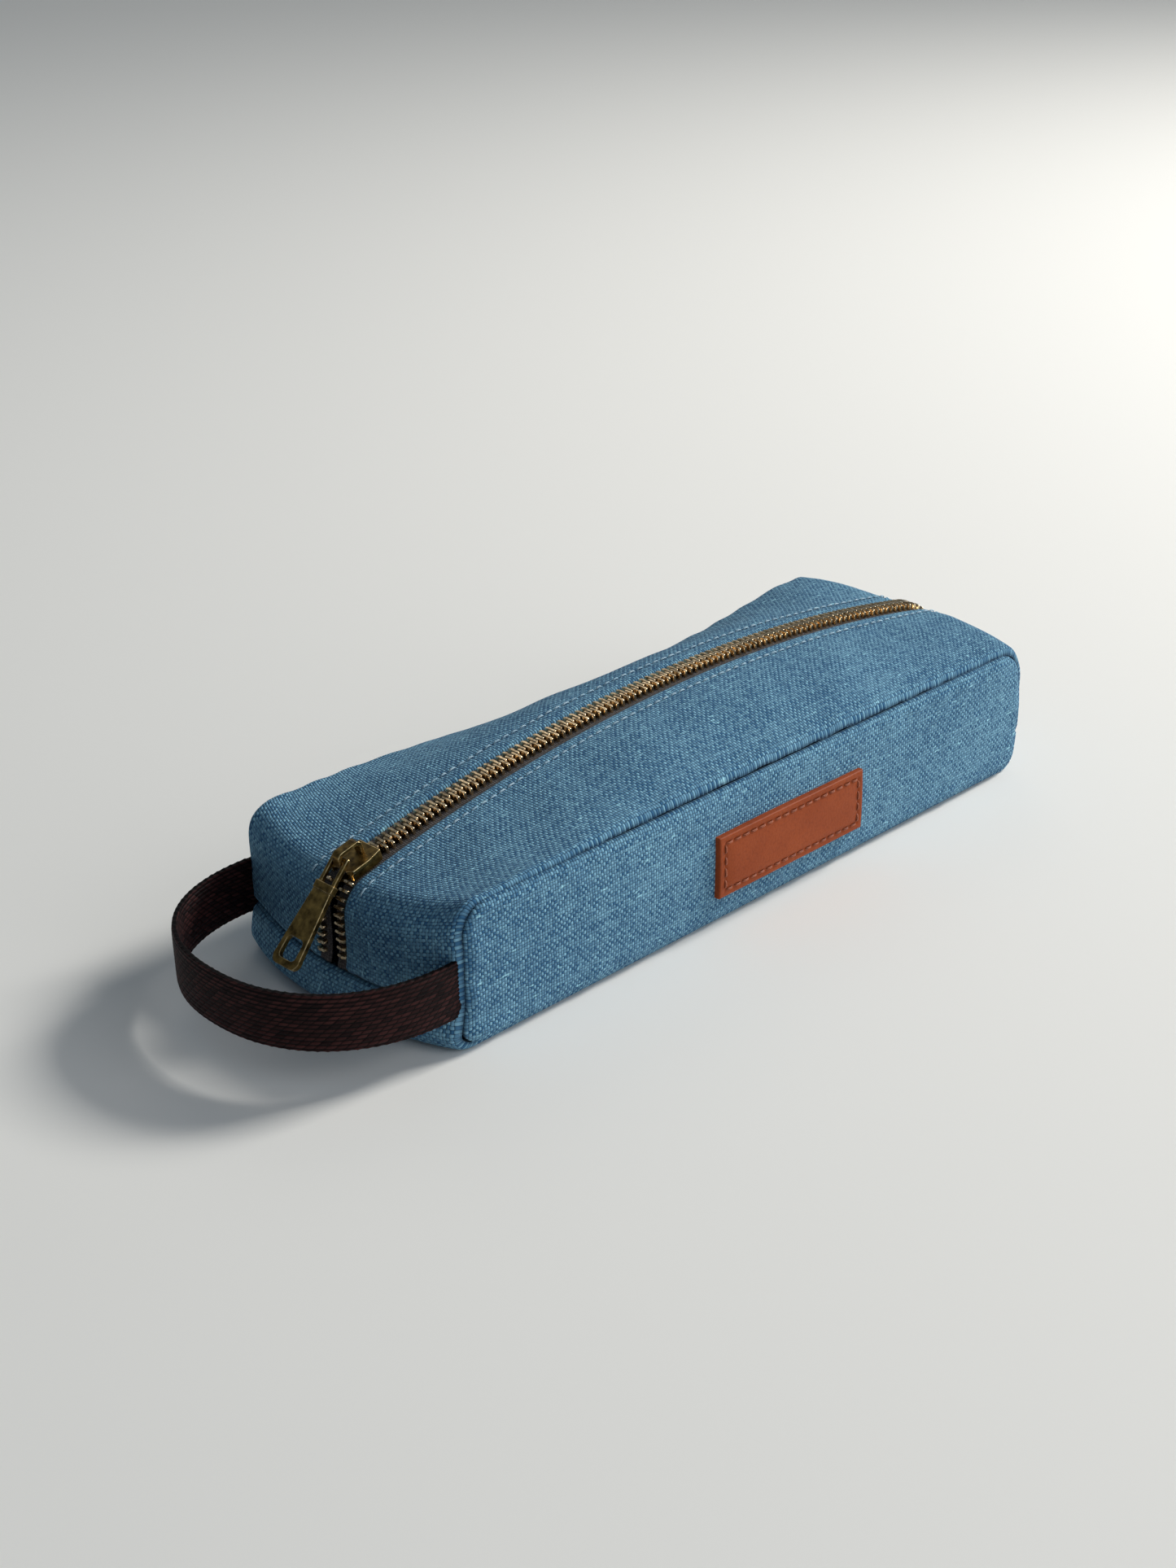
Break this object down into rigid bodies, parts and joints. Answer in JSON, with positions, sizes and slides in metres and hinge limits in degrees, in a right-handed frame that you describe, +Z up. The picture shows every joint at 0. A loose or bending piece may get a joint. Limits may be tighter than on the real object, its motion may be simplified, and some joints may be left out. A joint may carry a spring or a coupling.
{
  "type": "pencil case",
  "caption": "Soft boxy canvas pencil case with a full-length brass zip over its arched top, a webbing wrist loop at one end and a blank leather label on one side.",
  "frame": {"origin": "on the surface the case stands on, under the middle of the canvas case, leaving the wrist loop out", "axes": "+X runs along the case away from the wrist loop, the leather label is on the -Y side, +Z is up"},
  "size_m": [0.2571, 0.0812, 0.0503],
  "materials": {
    "canvas": "heavy plain-weave cotton canvas, mid blue, matt",
    "zip_tape": "fine twill tape, dark grey-brown",
    "antique_brass": "antique brass, dark in the hollows and bright on worn edges",
    "webbing": "ribbed nylon webbing, very dark brown",
    "leather": "smooth tan leather with a fine grain, satin",
    "tan_thread": "waxed thread, reddish tan",
    "pale_thread": "pale blue polyester thread",
    "binding": "bias tape, dark blue"
  },
  "bodies": {
    "case": {"side_panel_near": "canvas", "side_panel_far": "canvas", "bottom_panel": "canvas", "nose_panel_near": "canvas", "nose_panel_far": "canvas", "tail_panel_near": "canvas", "tail_panel_far": "canvas", "zip_tape_ends": "zip_tape", "zip_teeth_ends": "antique_brass", "wrist_loop_ends": "webbing", "leather_label": "leather", "label_stitching": "tan_thread", "topstitch_ends": "pale_thread", "seam_binding_near": "binding", "seam_binding_far": "binding"},
    "lip_near": {"top_panel_near": "canvas", "zip_tape_near": "zip_tape", "zip_teeth_near": "antique_brass", "topstitch_near": "pale_thread"},
    "lip_far": {"top_panel_far": "canvas", "zip_tape_far": "zip_tape", "zip_teeth_far": "antique_brass", "topstitch_far": "pale_thread"},
    "slider": {"slider_body": "antique_brass", "slider_bridge": "antique_brass"},
    "pull": {"pull_loop": "antique_brass", "pull_tab": "antique_brass"},
    "strap": {"wrist_loop": "webbing"}
  },
  "joints": [
    {"name": "slider_travel", "type": "hinge", "parent": "case", "child": "slider", "pos_m": [0.015, 0, -0.4105], "axis": [0, 1, 0], "range_deg": [0, 24.5], "deforming": ["zip_tape_near", "zip_tape_far", "zip_teeth_near", "zip_teeth_far", "zip_tape_ends", "zip_teeth_ends"]},
    {"name": "lip_near_open", "type": "hinge", "parent": "case", "child": "lip_near", "pos_m": [0, -0.03815, 0.0389], "axis": [1, 0, 0], "range_deg": [0, 35]},
    {"name": "lip_far_open", "type": "hinge", "parent": "case", "child": "lip_far", "pos_m": [0, 0.03815, 0.0389], "axis": [-1, 0, 0], "range_deg": [0, 35]},
    {"name": "pull_swing", "type": "hinge", "parent": "slider", "child": "pull", "pos_m": [-0.10627, 0, 0.03718], "axis": [0, 1, 0], "range_deg": [0, 210]},
    {"name": "strap_swing", "type": "hinge", "parent": "case", "child": "strap", "pos_m": [-0.107, 0, 0.017], "axis": [0, 1, 0], "range_deg": [-10, 45], "stiffness_Nm_per_rad": 0.02, "deforming": ["wrist_loop_ends"]}
  ],
  "couplings": [
    {"joint": "lip_near_open", "follows": "slider_travel", "ratio": 1.42},
    {"joint": "lip_far_open", "follows": "slider_travel", "ratio": 1.42}
  ]
}
